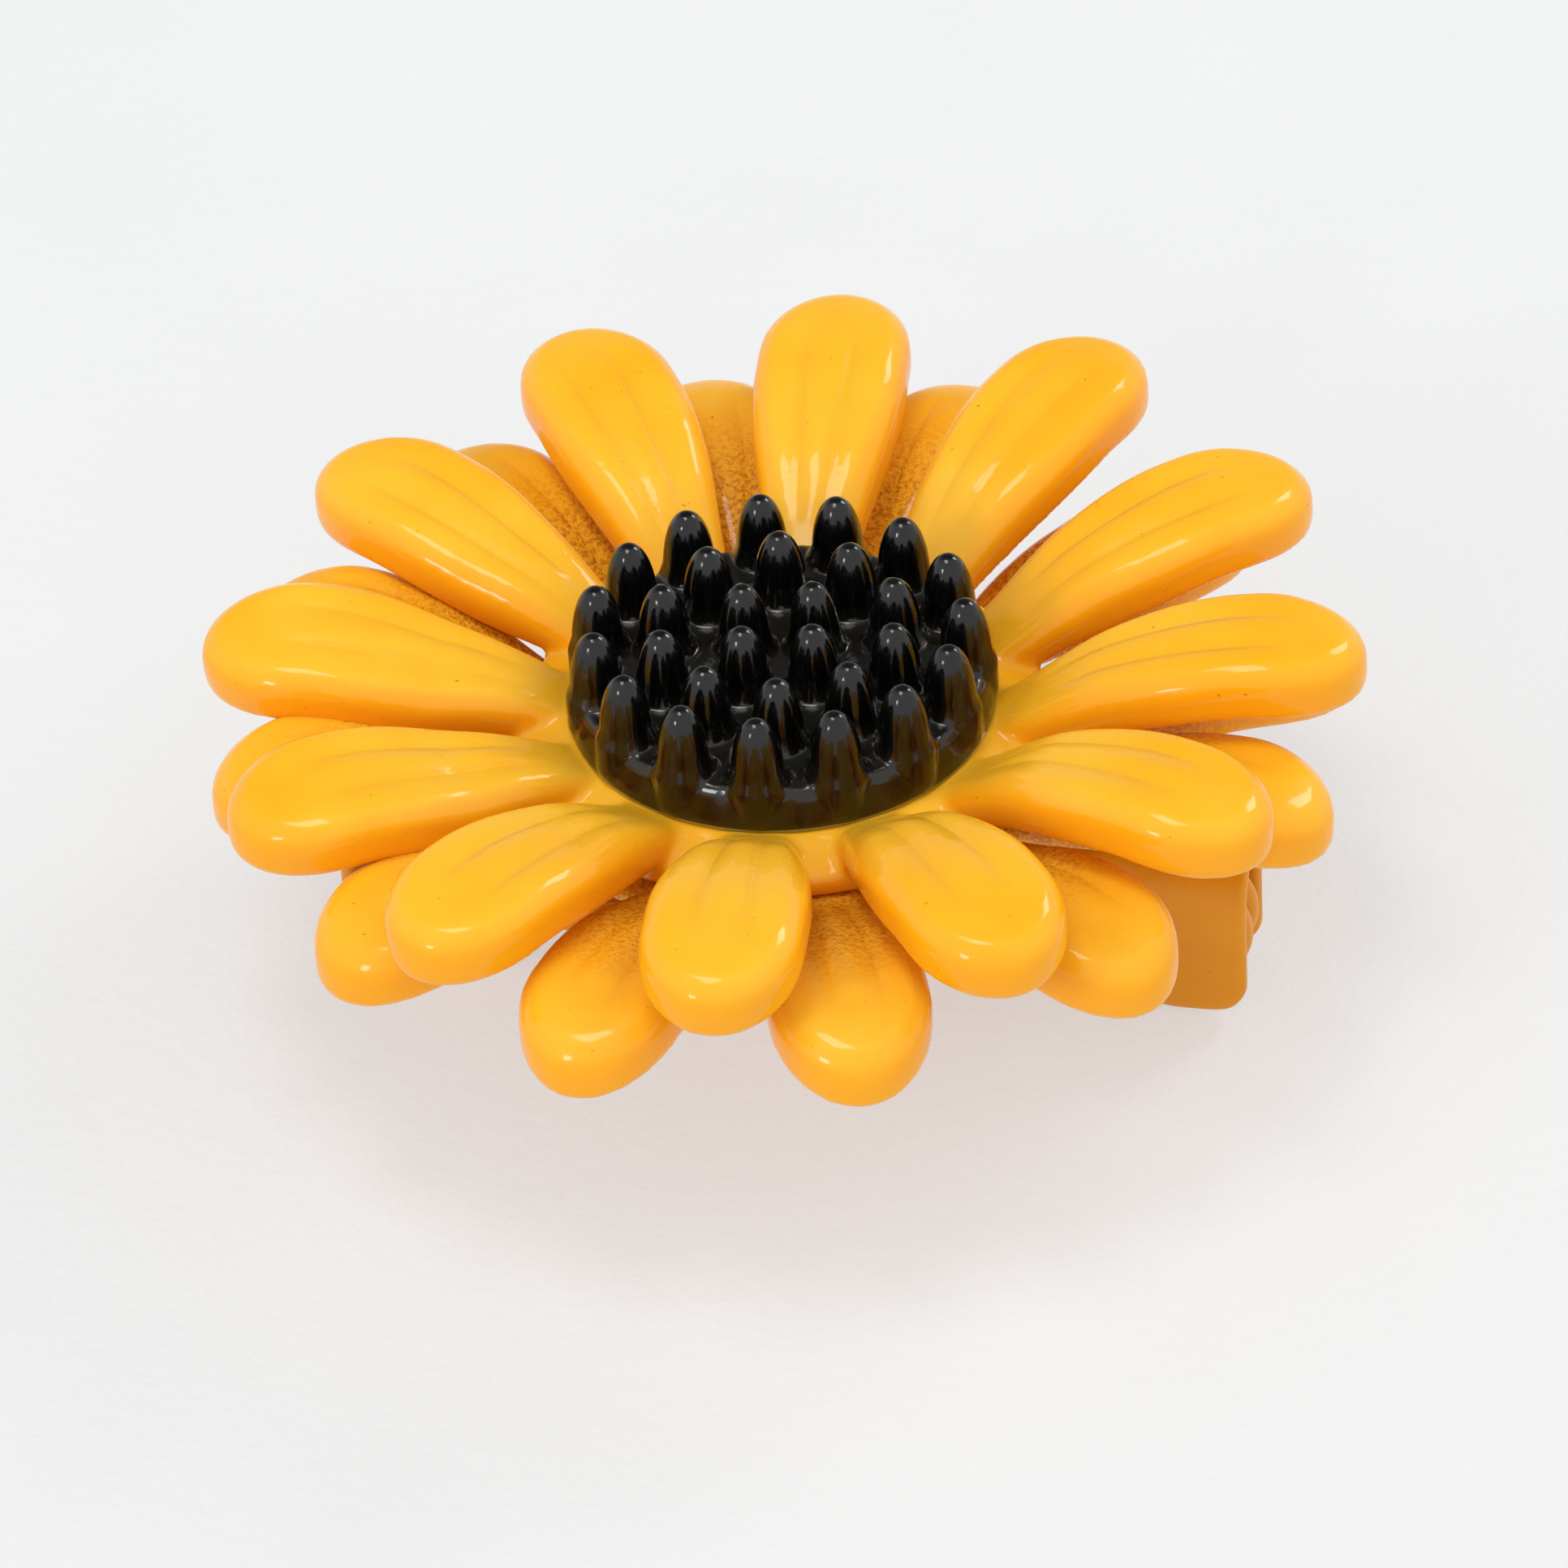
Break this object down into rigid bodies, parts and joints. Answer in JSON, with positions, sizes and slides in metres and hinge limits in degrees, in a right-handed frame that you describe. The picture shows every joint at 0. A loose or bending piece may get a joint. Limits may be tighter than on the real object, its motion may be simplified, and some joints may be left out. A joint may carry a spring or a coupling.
{
  "type": "flower hair clip",
  "caption": "Snap hair clip with layered petals round a nubbed dark centre, and a spring wire arm that swings open from its hinge.",
  "frame": {"origin": "on the flower's axis, at the flat underside of the clip plate", "axes": "+Z the way the flower faces, +X along the clip towards its hinge, +Y across the clip"},
  "size_m": [0.04, 0.04, 0.0148],
  "materials": {
    "petal_enamel": "glossy golden yellow enamel over cast metal",
    "black_enamel": "glossy black enamel over cast metal",
    "clip_enamel": "satin golden yellow paint over folded sheet and wire",
    "rivet_metal": "plain plated metal"
  },
  "bodies": {
    "clip": {"flower_centre": "black_enamel", "upper_petals": "petal_enamel", "lower_petals": "petal_enamel", "back_disc": "petal_enamel", "flower_rivet": "rivet_metal", "clip_rivet_hinge_side": "clip_enamel", "clip_rivet_catch_side": "clip_enamel", "clip_body": "clip_enamel", "hinge_pin": "clip_enamel"},
    "arm": {"arm_wire": "clip_enamel", "arm_head": "clip_enamel"}
  },
  "joints": [
    {"name": "arm_hinge", "type": "hinge", "parent": "clip", "child": "arm", "pos_m": [0.014, 0, -0.00335], "axis": [0, -1, 0], "range_deg": [0, 70]}
  ]
}
